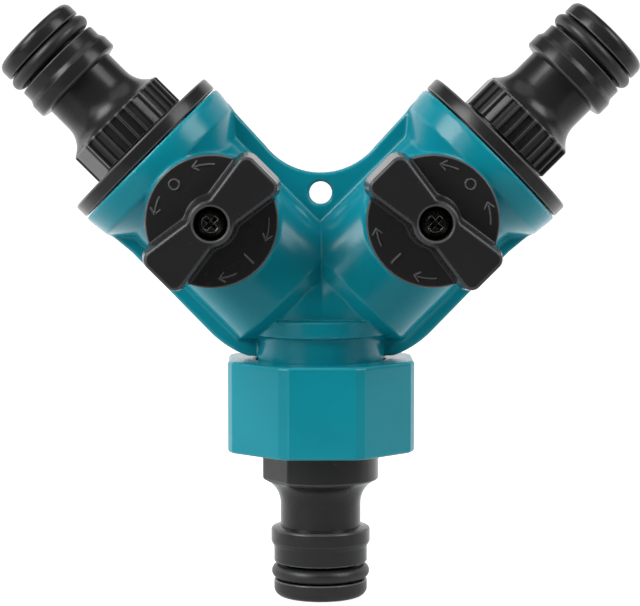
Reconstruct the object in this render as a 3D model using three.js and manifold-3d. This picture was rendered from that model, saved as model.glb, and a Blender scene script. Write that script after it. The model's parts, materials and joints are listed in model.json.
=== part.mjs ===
// Two-way hose splitter: a Y body with a quarter-turn ball valve in each arm, a swivelling tap nut
// and three quick-connect nipples. Millimetres, +Z up. The origin is the centre of the inlet
// nipple's end face; the inlet runs up +Z, the arms spread along X and the knobs face -Y.
import * as THREE from "three";
import { mergeVertices, toCreasedNormals } from "three/addons/utils/BufferGeometryUtils.js";
import Module from "manifold-3d";

const wasm = await Module();
wasm.setup();

// ---- Driving dimensions ------------------------------------------------------------------------

// The Y layout. Distances "along" an arm start at the crossing of the three axes.
const CROSSING_Z = 47;
const ARM_TILT = Math.PI / 4;
const GAP = 0.25; // between pieces that touch
const OVERLAP = 0.5; // of solids that are joined into one
const PAST = 1; // how far a cutter runs past the face it cuts
const BORE_RADIUS = 4.6; // waterway

// Arms of the body
const ARM_RADIUS = 11.95;
const CORE_RADIUS = 10;
const CORE_END = 5.8;
const ARM_START = 7.9;
const FLARE_START = 32.5;
const FLARE_END = 36.2;
const FLARE_RADIUS = 15;
const RIM_RADIUS = 15.4;
const RIM_START = 39.4;
const ARM_END = 40.4;

// Stub of the body, inside and above the nut
const STUB_RADIUS = 10.7;
const STUB_TOP = 49;
const STUB_BOTTOM = 33;
const COLLAR_RADIUS = 12;
const COLLAR_BOTTOM = 45.1;
const COLLAR_TOP = 48;
const CLIP_GROOVE_RADIUS = 9;
const CLIP_GROOVE_BOTTOM = 35;
const CLIP_GROOVE_TOP = 36.8;

// Web between the arms
const WEB_THICKNESS = 3;
const WEB_VALLEY_Z = 72.4;
const WEB_VALLEY_RADIUS = 11.8;
const WEB_VALLEY_ANGLE = (52 * Math.PI) / 180;
const WEB_EDGE_OFFSET = 14.4; // lower edge near the stub, from the arm's axis
const WEB_OUTER_OFFSET = 14.1; // lower edge near the flare
const WEB_FLARE_OFFSET = 14.6; // lower edge on the flare
const WEB_KNEE = 12; // where the lower edge turns in to the stub, along the arm
const WEB_BEND = 8.05;
const WEB_STRAIGHT_END = 31;
const WEB_TOP_ALONG = 37;
const WEB_FOOT_X = 12.3;
const WEB_FOOT_Z = 41.3;
const HANG_HOLE_Z = 69;
const HANG_HOLE_RADIUS = 1.9;

// Ball valve, centred on the arm's axis. Depths are measured forwards from that axis.
const VALVE_ALONG = 25.5;
const BALL_RADIUS = 8;
const BALL_BORE_RADIUS = 4.4;
const CHAMBER_RADIUS = 8.6;
const CHAMBER_START = 16.1;
const SOCKET_START = 36.3; // counterbore for the cap's plug
const SOCKET_RADIUS = 12.5;
const SEAT_BORE_RADIUS = 4.9;
const SEAT_RADIUS = 8.3;
const SEAT_FRONT = 4.13; // from the ball's centre
const SEAT_BACK = 9;
const STEM_RADIUS = 3.2;
const STEM_BORE_RADIUS = 3.45;
const STEM_COLLAR_RADIUS = 4.1;
const STEM_COLLAR_DEPTHS = [8.3, 9.5];
const STEM_TANG_LENGTH = 5.2;
const STEM_DRIVE_SIZE = 4.2;
const STEM_SHOULDER = 15.6;
const STEM_TOP = 19.9;
const STEM_RING_DEPTHS = [11.2, 13.7];
const STEM_RING_SECTION = 0.6;
const RING_CLEARANCE = 0.15; // round an o-ring in its groove
const BALL_SLOT_DEPTH = 5.7;
const BALL_SLOT_WIDTH = 2.8;

// Boss under each knob, and the knob
const BOSS_RADIUS = 10.7;
const BOSS_TOP = 15.5;
const KNOB_BOTTOM = 15.9;
const KNOB_RADIUS = 10.9;
const KNOB_CHAMFER = 0.35;
const KNOB_DISC_TOP = 17.6;
const HANDLE_TOP = 25;
const HANDLE_HALF_LENGTH = 12.7;
const HANDLE_END_HALF_WIDTH = 4.9;
const HANDLE_WAIST_HALF_WIDTH = 3.45;
const HANDLE_HUB_RADIUS = 4.3;
const HANDLE_CORNER = 2.2;
const HANDLE_DRAFT = 0.6; // the handle's walls lean in by this much at its top
const RECESS_RADIUS = 2.75;
const RECESS_FLOOR = 21.2;
const DRIVE_SOCKET_SIZE = 4.7;
const DRIVE_SOCKET_TOP = 20.3;
const STOP_RADIUS = 7.2; // the knob's stop peg travels on this radius in the boss's track
const STOP_PEG_RADIUS = 0.9;
const STOP_PEG_LENGTH = 1; // below the boss's face
const STOP_TRACK_WIDTH = 2.6;
const STOP_TRACK_DEPTH = 1.6;
const KNOB_TURN = Math.PI / 2;

// Knob screw
const SCREW_RADIUS = 1.25;
const SCREW_HOLE_RADIUS = 1.55;
const SCREW_HEAD_RADIUS = 2.3;
const SCREW_HEAD_HEIGHT = 1.5;
const SCREW_HEAD_BEVEL = 0.6;
const SCREW_LENGTH = 7.5;
const CROSS_LENGTH = 2.6;
const CROSS_WIDTH = 0.6;
const CROSS_DEPTH = 0.9;

// Outlet cap
const CAP_FLANGE_RADIUS = 15.3;
const CAP_FLANGE_TOP = 43.05;
const CAP_CHAMFER = 0.3;
const CAP_PLUG_RADIUS = 12.1;
const CAP_NOSE_RADIUS = 8.1;
const CAP_SOCKET_RADIUS = 8.1;
const CAP_SOCKET_FLOOR = 36.9;
const CAP_RING_ALONG = 38.6;
const CAP_RING_SECTION = 0.85;
const CAP_GROOVE_RADIUS = 10.45;

// Quick-connect nipple. Heights are measured from its end face.
const NIPPLE_END_RADIUS = 7.95;
const NIPPLE_EDGE_ROUND = 1.3;
const GROOVE_START = 2.9;
const GROOVE_END = 5.95;
const GROOVE_RADIUS = 5.8;
const LAND_END = 7.9;
const CATCH_START = 8.8;
const CATCH_END = 11.1;
const CATCH_RADIUS = 8.45;
const NECK_START = 11.5;
const NECK_END = 15.5;
const NECK_RADIUS = 6.85;
const SWEEP_RADIUS = 4.6; // hollow curve from the neck out to the grip
const GRIP_START = 19.6;
const GRIP_RADIUS = 9.8;
const GRIP_ROOT_RADIUS = 9.2;
const GRIP_CORE_RADIUS = 9; // inside the ribs
const GRIP_FLAT_OFFSET = 8.7;
const GRIP_RIBS = 32;
const RIB_CREST_START = 0.38; // as a share of a rib's width
const LEFT_FLAT_TURN = 1.15; // how far each outlet nipple is screwed round
const RIGHT_FLAT_TURN = Math.PI / 2;
const LEFT_NIPPLE_END = 68.7; // along the arm
const RIGHT_NIPPLE_END = 69.1; // screwed in less far
const INLET_CATCH_EXTRA = 0.7; // the inlet's catch stands this much further from its end
const INLET_GRIP_EXTRA = 0.45;
const NIPPLE_RING_HEIGHT = 4.3;
const NIPPLE_RING_SECTION = 1.2;
const NIPPLE_RING_OUTER = 8.35;
const GRIP_END = 25.4;
const NIPPLE_THREAD_RADIUS = 7.8;
const NIPPLE_THREAD_LENGTH = 4.6;
const WASHER_THICKNESS = 1.2;

// Swivel nut
const NUT_BOTTOM = 25.45;
const NUT_TOP = 40.9;
const NUT_APOTHEM = 15.7;
const NUT_SIDES = 8;
const NUT_CORNER = 0.95; // of each side, taken off by the flat between two sides
const NUT_RIM_BEVEL = 0.4;
const NUT_THREAD_RADIUS = 13.2;
const NUT_THROAT_RADIUS = 11.05;
const NUT_SHOULDER = 37.4;

// Swivel clip, inlet washer and the adapter's flange
const CLIP_INNER_RADIUS = 9.3;
const CLIP_OUTER_RADIUS = 12.3;
const CLIP_BOTTOM = 35.3;
const CLIP_TOP = 36.5;
const CLIP_MOUTH = 7;
const WASHER_INNER_RADIUS = 5.5;
const WASHER_OUTER_RADIUS = 12.8;
const WASHER_BOTTOM = 30.8;
const WASHER_TOP = 32.7;
const ADAPTER_FLANGE_RADIUS = 12.9;
const ADAPTER_FLANGE_BOTTOM = 26;
const ADAPTER_FLANGE_TOP = 30.5;
const ADAPTER_COLLAR_RADIUS = 9.9;
const ADAPTER_CHAMFER = 0.6;
const ADAPTER_FLAT_OFFSET = 9.1;
const ADAPTER_FLAT_TURN = -1.02; // from straight ahead, towards the left

// Facets round a full turn
const FINE = 40;
const MEDIUM = 30;
const COARSE = 18;
const RING_FACETS = 6;
const BALL_STEPS = 8;
const SEAT_STEPS = 3;
const EDGE_STEPS = 2;
const SWEEP_STEPS = 4;
const WEB_STEPS = 10;
const CORNER_STEPS = 5;
const WELD_DISTANCE = 1e-4;
const CREASE_ANGLE = Math.PI / 6;

// ---- Materials ---------------------------------------------------------------------------------

const TEAL = { color: 0x148a9b, roughness: 0.38, metalness: 0 };
const BLACK = { color: 0x29292b, roughness: 0.42, metalness: 0 };
const RUBBER = { color: 0x1c1c1e, roughness: 0.6, metalness: 0 };
const RED_RUBBER = { color: 0x9c3a2c, roughness: 0.7, metalness: 0 };
const WHITE_SEAT = { color: 0xe9e8e2, roughness: 0.5, metalness: 0 };
const ACETAL = { color: 0xd8d6cf, roughness: 0.35, metalness: 0 };
const STEEL = { color: 0x6b6a66, roughness: 0.35, metalness: 1 };

// ---- Helpers -----------------------------------------------------------------------------------

// A closed three.js geometry as a manifold-3d solid.
function solid(geometry) {
  const bare = geometry.index ? geometry.toNonIndexed() : geometry.clone();
  bare.deleteAttribute("normal");
  bare.deleteAttribute("uv");
  const merged = mergeVertices(bare, WELD_DISTANCE);
  const triVerts = new Uint32Array(merged.index.array);
  const vertProperties = merged.attributes.position.array;
  return new wasm.Manifold(new wasm.Mesh({ numProp: 3, vertProperties, triVerts }));
}

// A manifold-3d solid as a three.js geometry.
function geometryOf(manifold) {
  const mesh = manifold.getMesh();
  const geometry = new THREE.BufferGeometry();
  geometry.setAttribute("position", new THREE.BufferAttribute(mesh.vertProperties, 3));
  geometry.setIndex(new THREE.BufferAttribute(mesh.triVerts, 1));
  return toCreasedNormals(geometry, CREASE_ANGLE);
}

// A body of revolution about +Z from [radius, height] pairs, listed with the material on the left.
function turned(profile, facets = MEDIUM) {
  const points = profile.map(([radius, height]) => new THREE.Vector2(radius, height));
  return new THREE.LatheGeometry(points, facets).rotateX(Math.PI / 2);
}

// A plain round bar along +Z.
const bar = (radius, from, to, facets = MEDIUM) =>
  turned([[0, from], [radius, from], [radius, to], [0, to]], facets);

// A square-edged ring about +Z.
const ring = (inner, outer, from, to, facets = MEDIUM) =>
  turned([[inner, from], [outer, from], [outer, to], [inner, to], [inner, from]], facets);

// A torus about +Z.
const roundRing = (centreRadius, section, facets = MEDIUM) =>
  new THREE.TorusGeometry(centreRadius, section, RING_FACETS, facets);

// An arc of [radius, height] pairs round a centre, angles measured from +radius towards +height.
function arc(centreRadius, centreHeight, radius, fromAngle, toAngle, steps) {
  const points = [];
  for (let i = 0; i <= steps; i++) {
    const angle = fromAngle + ((toAngle - fromAngle) * i) / steps;
    points.push([
      centreRadius + radius * Math.cos(angle),
      centreHeight + radius * Math.sin(angle),
    ]);
  }
  return points;
}

const box = (sizeX, sizeY, sizeZ) => new THREE.BoxGeometry(sizeX, sizeY, sizeZ);

// Turns +Z to -Y, for what is built along a valve's stem.
const facingForward = (geometry) => geometry.rotateX(Math.PI / 2);

// Moves a geometry from an arm's own frame, with +Z outwards along the arm, to the body's frame.
const inArm = (geometry, side) =>
  geometry.rotateY(side * ARM_TILT).translate(0, 0, CROSSING_Z);

// A point of the web's plane, given along an arm and outwards (down) from its axis. A negative
// offset lies between the arms.
function besideArm(along, offset) {
  const slope = Math.SQRT1_2;
  return [(along + offset) * slope, CROSSING_Z + (along - offset) * slope];
}

function part(name, geometry, finish) {
  const mesh = new THREE.Mesh(geometry, new THREE.MeshStandardMaterial(finish));
  mesh.name = name;
  return mesh;
}

// ---- Y body ------------------------------------------------------------------------------------

function armOutside() {
  return turned([
    [0, 0],
    [CORE_RADIUS, 0],
    [CORE_RADIUS, CORE_END],
    [ARM_RADIUS, ARM_START],
    [ARM_RADIUS, FLARE_START],
    [FLARE_RADIUS, FLARE_END],
    [RIM_RADIUS, RIM_START],
    [RIM_RADIUS, ARM_END],
    [0, ARM_END],
  ], FINE);
}

function armInside() {
  return turned([
    [0, 0],
    [BORE_RADIUS, 0],
    [BORE_RADIUS, CHAMBER_START],
    [CHAMBER_RADIUS, CHAMBER_START],
    [CHAMBER_RADIUS, SOCKET_START],
    [SOCKET_RADIUS, SOCKET_START],
    [SOCKET_RADIUS, ARM_END + PAST],
    [0, ARM_END + PAST],
  ]);
}

function stubOutside() {
  return turned([
    [0, STUB_BOTTOM],
    [STUB_RADIUS, STUB_BOTTOM],
    [STUB_RADIUS, CLIP_GROOVE_BOTTOM],
    [CLIP_GROOVE_RADIUS, CLIP_GROOVE_BOTTOM],
    [CLIP_GROOVE_RADIUS, CLIP_GROOVE_TOP],
    [STUB_RADIUS, CLIP_GROOVE_TOP],
    [STUB_RADIUS, COLLAR_BOTTOM],
    [COLLAR_RADIUS, COLLAR_BOTTOM],
    [COLLAR_RADIUS, COLLAR_TOP],
    [CORE_RADIUS, COLLAR_TOP],
    [CORE_RADIUS, STUB_TOP],
    [0, STUB_TOP],
  ], FINE);
}

// The web's outline in X and Z: a round valley between straight upper edges, and lower edges that
// follow the arms and curve in to the stub.
function webOutline() {
  const bend = besideArm(WEB_BEND, WEB_EDGE_OFFSET);
  const rightEdge = [
    besideArm(WEB_KNEE, WEB_EDGE_OFFSET),
    besideArm(WEB_STRAIGHT_END, WEB_OUTER_OFFSET),
    besideArm(FLARE_END, WEB_FLARE_OFFSET),
    besideArm(WEB_TOP_ALONG, -FLARE_RADIUS),
  ];
  const valleyCentreZ = WEB_VALLEY_Z + WEB_VALLEY_RADIUS;
  const valleyStart = -Math.PI / 2 + WEB_VALLEY_ANGLE;
  const valleyEnd = -Math.PI / 2 - WEB_VALLEY_ANGLE;
  const shape = new THREE.Shape();
  shape.moveTo(-WEB_FOOT_X, WEB_FOOT_Z);
  shape.lineTo(WEB_FOOT_X, WEB_FOOT_Z);
  shape.quadraticCurveTo(...bend, ...rightEdge[0]);
  rightEdge.slice(1).forEach(([x, z]) => shape.lineTo(x, z));
  shape.absarc(0, valleyCentreZ, WEB_VALLEY_RADIUS, valleyStart, valleyEnd, true);
  rightEdge.reverse().forEach(([x, z]) => shape.lineTo(-x, z));
  shape.quadraticCurveTo(-bend[0], bend[1], -WEB_FOOT_X, WEB_FOOT_Z);
  return shape;
}

function web() {
  const shape = webOutline();
  const hole = new THREE.Path();
  hole.absarc(0, HANG_HOLE_Z, HANG_HOLE_RADIUS, 0, 2 * Math.PI, true);
  shape.holes.push(hole);
  const plate = new THREE.ExtrudeGeometry(shape, {
    depth: WEB_THICKNESS,
    bevelEnabled: false,
    curveSegments: WEB_STEPS,
  });
  return plate.rotateX(Math.PI / 2).translate(0, WEB_THICKNESS / 2, 0);
}

// The quarter-turn track in a boss's face that the knob's stop peg runs in.
function stopTrack() {
  const margin = Math.asin(STOP_TRACK_WIDTH / 2 / STOP_RADIUS);
  const shape = new THREE.Shape();
  const outer = STOP_RADIUS + STOP_TRACK_WIDTH / 2;
  const inner = STOP_RADIUS - STOP_TRACK_WIDTH / 2;
  shape.absarc(0, 0, outer, -margin, KNOB_TURN + margin, false);
  shape.absarc(0, 0, inner, KNOB_TURN + margin, -margin, true);
  const track = new THREE.ExtrudeGeometry(shape, {
    depth: STOP_TRACK_DEPTH + PAST,
    bevelEnabled: false,
    curveSegments: CORNER_STEPS,
  });
  return track.translate(0, 0, BOSS_TOP - STOP_TRACK_DEPTH);
}

function stemHole() {
  const recessRadius = STEM_COLLAR_RADIUS + GAP;
  const recessTop = STEM_COLLAR_DEPTHS[1] + GAP;
  return turned([
    [0, 0],
    [recessRadius, 0],
    [recessRadius, recessTop],
    [STEM_BORE_RADIUS, recessTop],
    [STEM_BORE_RADIUS, BOSS_TOP + PAST],
    [0, BOSS_TOP + PAST],
  ], COARSE);
}

function splitterBody() {
  let outside = solid(stubOutside()).add(solid(web()));
  const cuts = [solid(bar(BORE_RADIUS, STUB_BOTTOM - PAST, CROSSING_Z + PAST))];
  for (const side of [-1, 1]) {
    const onValve = (geometry) =>
      solid(inArm(facingForward(geometry).translate(0, 0, VALVE_ALONG), side));
    const boss = onValve(bar(BOSS_RADIUS, BORE_RADIUS, BOSS_TOP, FINE));
    outside = outside.add(solid(inArm(armOutside(), side))).add(boss);
    cuts.push(solid(inArm(armInside(), side)));
    cuts.push(onValve(stemHole()));
    cuts.push(onValve(stopTrack()));
  }
  return geometryOf(cuts.reduce((body, cut) => body.subtract(cut), outside));
}

// ---- Valve pieces, built along +Z and then turned to face forward --------------------------------

function ball() {
  const rimAngle = Math.acos(BALL_BORE_RADIUS / BALL_RADIUS);
  const outside = arc(0, 0, BALL_RADIUS, -rimAngle, rimAngle, BALL_STEPS);
  const sphere = solid(turned([...outside, outside[0]]).rotateY(Math.PI / 2));
  const slotHeight = BALL_RADIUS - BALL_SLOT_DEPTH + PAST;
  const slot = box(BALL_SLOT_WIDTH, slotHeight, 3 * BALL_RADIUS);
  slot.translate(0, -BALL_SLOT_DEPTH - slotHeight / 2, 0);
  return geometryOf(sphere.subtract(solid(slot)));
}

// A seat for the ball's side, facing -Z, with the ball's centre at the origin.
function seat() {
  const faceRadius = BALL_RADIUS + GAP;
  const inside = Math.acos(SEAT_BORE_RADIUS / faceRadius);
  const outside = Math.asin(SEAT_FRONT / faceRadius);
  return turned([
    [SEAT_BORE_RADIUS, SEAT_BACK],
    ...arc(0, 0, faceRadius, inside, outside, SEAT_STEPS),
    [SEAT_RADIUS, SEAT_FRONT],
    [SEAT_RADIUS, SEAT_BACK],
    [SEAT_BORE_RADIUS, SEAT_BACK],
  ], COARSE);
}

function stem() {
  const [collarBottom, collarTop] = STEM_COLLAR_DEPTHS;
  const grooveRadius = STEM_BORE_RADIUS - 2 * STEM_RING_SECTION - RING_CLEARANCE;
  const halfGroove = STEM_RING_SECTION + RING_CLEARANCE;
  const grooves = STEM_RING_DEPTHS.flatMap((depth) => [
    [STEM_RADIUS, depth - halfGroove],
    [grooveRadius, depth - halfGroove],
    [grooveRadius, depth + halfGroove],
    [STEM_RADIUS, depth + halfGroove],
  ]);
  const shaft = solid(turned([
    [0, collarBottom],
    [STEM_COLLAR_RADIUS, collarBottom],
    [STEM_COLLAR_RADIUS, collarTop],
    [STEM_RADIUS, collarTop],
    ...grooves,
    [STEM_RADIUS, STEM_SHOULDER],
    [0, STEM_SHOULDER],
  ], COARSE));
  const tangBottom = BALL_SLOT_DEPTH + GAP;
  const tangHeight = collarBottom - tangBottom + OVERLAP;
  const tang = box(BALL_SLOT_WIDTH - 2 * GAP, STEM_TANG_LENGTH, tangHeight);
  tang.translate(0, 0, tangBottom + tangHeight / 2);
  const driveHeight = STEM_TOP - STEM_SHOULDER + OVERLAP;
  const drive = box(STEM_DRIVE_SIZE, STEM_DRIVE_SIZE, driveHeight);
  drive.translate(0, 0, STEM_TOP - driveHeight / 2);
  const pilot = bar(SCREW_HOLE_RADIUS, STEM_TOP - SCREW_LENGTH, STEM_TOP + PAST, COARSE);
  const whole = shaft.add(solid(tang)).add(solid(drive)).subtract(solid(pilot));
  return facingForward(geometryOf(whole));
}

function stemRing(depth) {
  const centreRadius = STEM_BORE_RADIUS - RING_CLEARANCE / 2 - STEM_RING_SECTION;
  const torus = roundRing(centreRadius, STEM_RING_SECTION, COARSE);
  return facingForward(torus.translate(0, 0, depth));
}

// The handle's outline at its top, long axis along X: a round hub between two bars that widen
// outwards.
function handleOutline() {
  const hub = HANDLE_HUB_RADIUS - HANDLE_DRAFT;
  const hubAngle = Math.asin((HANDLE_WAIST_HALF_WIDTH - HANDLE_DRAFT) / hub);
  const end = HANDLE_HALF_LENGTH - HANDLE_DRAFT;
  const wide = HANDLE_END_HALF_WIDTH - HANDLE_DRAFT;
  const corner = HANDLE_CORNER;
  const shape = new THREE.Shape();
  shape.absarc(0, 0, hub, hubAngle, Math.PI - hubAngle, false);
  shape.lineTo(corner - end, wide);
  shape.quadraticCurveTo(-end, wide, -end, wide - corner);
  shape.lineTo(-end, corner - wide);
  shape.quadraticCurveTo(-end, -wide, corner - end, -wide);
  shape.absarc(0, 0, hub, Math.PI + hubAngle, -hubAngle, false);
  shape.lineTo(end - corner, -wide);
  shape.quadraticCurveTo(end, -wide, end, corner - wide);
  shape.lineTo(end, wide - corner);
  shape.quadraticCurveTo(end, wide, end - corner, wide);
  return shape;
}

// The handle, with walls that lean in above the disc and stand straight beside it.
function handle() {
  const wallHeight = HANDLE_TOP - KNOB_DISC_TOP;
  const both = new THREE.ExtrudeGeometry(handleOutline(), {
    depth: KNOB_DISC_TOP - KNOB_BOTTOM,
    bevelThickness: wallHeight,
    bevelSize: HANDLE_DRAFT,
    bevelSegments: 1,
    curveSegments: CORNER_STEPS,
  });
  both.translate(0, 0, KNOB_BOTTOM);
  const below = bar(2 * HANDLE_HALF_LENGTH, KNOB_BOTTOM - wallHeight - PAST, KNOB_BOTTOM, COARSE);
  return solid(both).subtract(solid(below));
}

function knob() {
  const disc = turned([
    [0, KNOB_BOTTOM],
    [KNOB_RADIUS, KNOB_BOTTOM],
    [KNOB_RADIUS, KNOB_DISC_TOP - KNOB_CHAMFER],
    [KNOB_RADIUS - KNOB_CHAMFER, KNOB_DISC_TOP],
    [0, KNOB_DISC_TOP],
  ], FINE);
  const peg = bar(STOP_PEG_RADIUS, BOSS_TOP - STOP_PEG_LENGTH, KNOB_BOTTOM + OVERLAP, COARSE);
  peg.translate(0, STOP_RADIUS, 0);
  const socketDepth = DRIVE_SOCKET_TOP - KNOB_BOTTOM + PAST;
  const driveSocket = box(DRIVE_SOCKET_SIZE, DRIVE_SOCKET_SIZE, socketDepth);
  driveSocket.translate(0, 0, DRIVE_SOCKET_TOP - socketDepth / 2);
  const whole = solid(disc)
    .add(handle())
    .add(solid(peg))
    .subtract(solid(bar(RECESS_RADIUS, RECESS_FLOOR, HANDLE_TOP + PAST, COARSE)))
    .subtract(solid(bar(SCREW_HOLE_RADIUS, KNOB_BOTTOM, HANDLE_TOP, COARSE)))
    .subtract(solid(driveSocket));
  return facingForward(geometryOf(whole));
}

function knobScrew() {
  const headBottom = RECESS_FLOOR + GAP;
  const headTop = headBottom + SCREW_HEAD_HEIGHT;
  const tip = headBottom - SCREW_LENGTH;
  const blank = solid(turned([
    [0, tip],
    [SCREW_RADIUS, tip + SCREW_RADIUS],
    [SCREW_RADIUS, headBottom],
    [SCREW_HEAD_RADIUS, headBottom],
    [SCREW_HEAD_RADIUS, headTop - SCREW_HEAD_BEVEL],
    [SCREW_HEAD_RADIUS - SCREW_HEAD_BEVEL, headTop],
    [0, headTop],
  ], COARSE));
  const cross = [
    box(CROSS_LENGTH, CROSS_WIDTH, 2 * CROSS_DEPTH),
    box(CROSS_WIDTH, CROSS_LENGTH, 2 * CROSS_DEPTH),
  ];
  const cut = cross.map((slot) => solid(slot.translate(0, 0, headTop)));
  return facingForward(geometryOf(blank.subtract(cut[0]).subtract(cut[1])));
}

// ---- Outlet cap and nipples, built along +Z ------------------------------------------------------

function outletCap() {
  const halfGroove = CAP_RING_SECTION + RING_CLEARANCE;
  const noseEnd = VALVE_ALONG + SEAT_BACK + GAP;
  const plugEnd = SOCKET_START + GAP;
  const flangeBottom = ARM_END + GAP;
  return turned([
    [BORE_RADIUS, noseEnd],
    [CAP_NOSE_RADIUS, noseEnd],
    [CAP_NOSE_RADIUS, plugEnd],
    [CAP_PLUG_RADIUS, plugEnd],
    [CAP_PLUG_RADIUS, CAP_RING_ALONG - halfGroove],
    [CAP_GROOVE_RADIUS, CAP_RING_ALONG - halfGroove],
    [CAP_GROOVE_RADIUS, CAP_RING_ALONG + halfGroove],
    [CAP_PLUG_RADIUS, CAP_RING_ALONG + halfGroove],
    [CAP_PLUG_RADIUS, flangeBottom],
    [CAP_FLANGE_RADIUS, flangeBottom],
    [CAP_FLANGE_RADIUS, CAP_FLANGE_TOP - CAP_CHAMFER],
    [CAP_FLANGE_RADIUS - CAP_CHAMFER, CAP_FLANGE_TOP],
    [CAP_SOCKET_RADIUS, CAP_FLANGE_TOP],
    [CAP_SOCKET_RADIUS, CAP_SOCKET_FLOOR],
    [BORE_RADIUS, CAP_SOCKET_FLOOR],
    [BORE_RADIUS, noseEnd],
  ]);
}

const capRing = () =>
  roundRing(SOCKET_RADIUS - RING_CLEARANCE - CAP_RING_SECTION, CAP_RING_SECTION, MEDIUM);

// The outside of a nipple's working end, from the bore at the end face up to the grip. The catch
// and the curve out to the grip can each stand further from the end by an extra length.
function nippleProfile(catchExtra, gripExtra) {
  const round = NIPPLE_EDGE_ROUND;
  const endRadius = NIPPLE_END_RADIUS;
  const sweepEnd = Math.PI - Math.asin((GRIP_START - NECK_END) / SWEEP_RADIUS);
  const sweepX = NECK_RADIUS + SWEEP_RADIUS;
  return [
    [BORE_RADIUS, 0],
    ...arc(endRadius - round, round, round, -Math.PI / 2, 0, EDGE_STEPS),
    [endRadius, GROOVE_START],
    [GROOVE_RADIUS, GROOVE_START],
    [GROOVE_RADIUS, GROOVE_END],
    [endRadius, GROOVE_END],
    [endRadius, LAND_END + catchExtra],
    [CATCH_RADIUS, CATCH_START + catchExtra],
    [CATCH_RADIUS, CATCH_END + catchExtra],
    [NECK_RADIUS, NECK_START + catchExtra],
    ...arc(sweepX, NECK_END + gripExtra, SWEEP_RADIUS, Math.PI, sweepEnd, SWEEP_STEPS),
  ];
}

// Cuts a wrench flat on the side of a grip, at an angle from straight ahead (-Y).
function wrenchFlat(offset, from, to, angle) {
  const size = 2 * GRIP_RADIUS;
  const cutter = box(size, size, to - from);
  cutter.translate(0, -offset - size / 2, (from + to) / 2).rotateZ(angle);
  return solid(cutter);
}

// The ribbed grip: each rib rises from a valley to a flat crest and falls back.
function ribbedGrip(from, to) {
  const rib = [
    [0, GRIP_ROOT_RADIUS],
    [RIB_CREST_START, GRIP_RADIUS],
    [1 - RIB_CREST_START, GRIP_RADIUS],
  ];
  const points = [];
  for (let i = 0; i < GRIP_RIBS; i++) {
    for (const [step, radius] of rib) {
      const angle = (2 * Math.PI * (i + step)) / GRIP_RIBS;
      points.push(new THREE.Vector2(radius * Math.cos(angle), radius * Math.sin(angle)));
    }
  }
  const shape = new THREE.Shape(points);
  const depth = to - from;
  return new THREE.ExtrudeGeometry(shape, { depth, bevelEnabled: false }).translate(0, 0, from);
}

// An outlet nipple with its end face at the origin: ribbed grip, two wrench flats, thread stub.
function outletNipple(flatAngle) {
  const threadEnd = GRIP_END + NIPPLE_THREAD_LENGTH;
  const core = solid(turned([
    ...nippleProfile(0, 0),
    [GRIP_CORE_RADIUS, GRIP_START],
    [GRIP_CORE_RADIUS, GRIP_END],
    [NIPPLE_THREAD_RADIUS, GRIP_END],
    [NIPPLE_THREAD_RADIUS, threadEnd],
    [BORE_RADIUS, threadEnd],
    [BORE_RADIUS, 0],
  ]));
  const bore = solid(bar(BORE_RADIUS, -PAST, threadEnd + PAST));
  let whole = core.add(solid(ribbedGrip(GRIP_START, GRIP_END)));
  for (const half of [0, Math.PI]) {
    const angle = flatAngle + half;
    whole = whole.subtract(wrenchFlat(GRIP_FLAT_OFFSET, GRIP_START - PAST, GRIP_END, angle));
  }
  return geometryOf(whole.subtract(bore));
}

const nippleRing = () =>
  roundRing(NIPPLE_RING_OUTER - NIPPLE_RING_SECTION, NIPPLE_RING_SECTION, MEDIUM);

// The inlet adapter: the same working end, a smooth collar and the flange held in the nut.
function inletAdapter() {
  const collarBottom = GRIP_START + INLET_GRIP_EXTRA;
  const core = solid(turned([
    ...nippleProfile(INLET_CATCH_EXTRA, INLET_GRIP_EXTRA),
    [ADAPTER_COLLAR_RADIUS - ADAPTER_CHAMFER, collarBottom],
    [ADAPTER_COLLAR_RADIUS, collarBottom + ADAPTER_CHAMFER],
    [ADAPTER_COLLAR_RADIUS, ADAPTER_FLANGE_BOTTOM],
    [ADAPTER_FLANGE_RADIUS, ADAPTER_FLANGE_BOTTOM],
    [ADAPTER_FLANGE_RADIUS, ADAPTER_FLANGE_TOP],
    [BORE_RADIUS, ADAPTER_FLANGE_TOP],
    [BORE_RADIUS, 0],
  ]));
  const top = ADAPTER_FLANGE_BOTTOM - GAP;
  const flat = wrenchFlat(ADAPTER_FLAT_OFFSET, NECK_END, top, ADAPTER_FLAT_TURN);
  return geometryOf(core.subtract(flat));
}

// ---- Swivel nut, clip and washers ----------------------------------------------------------------

function nutOutline() {
  const apothem = NUT_APOTHEM - NUT_RIM_BEVEL;
  const halfFace = apothem * Math.tan(Math.PI / NUT_SIDES);
  const straight = halfFace - NUT_CORNER;
  // A point on a side's line, measured along it from its middle.
  const onSide = (side, along) => {
    const turn = (2 * Math.PI * (side % NUT_SIDES)) / NUT_SIDES;
    return [
      apothem * Math.cos(turn) - along * Math.sin(turn),
      apothem * Math.sin(turn) + along * Math.cos(turn),
    ];
  };
  const shape = new THREE.Shape();
  shape.moveTo(...onSide(0, -straight));
  for (let side = 0; side < NUT_SIDES; side++) {
    shape.lineTo(...onSide(side, straight));
    shape.lineTo(...onSide(side + 1, -straight));
  }
  return shape;
}

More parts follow.
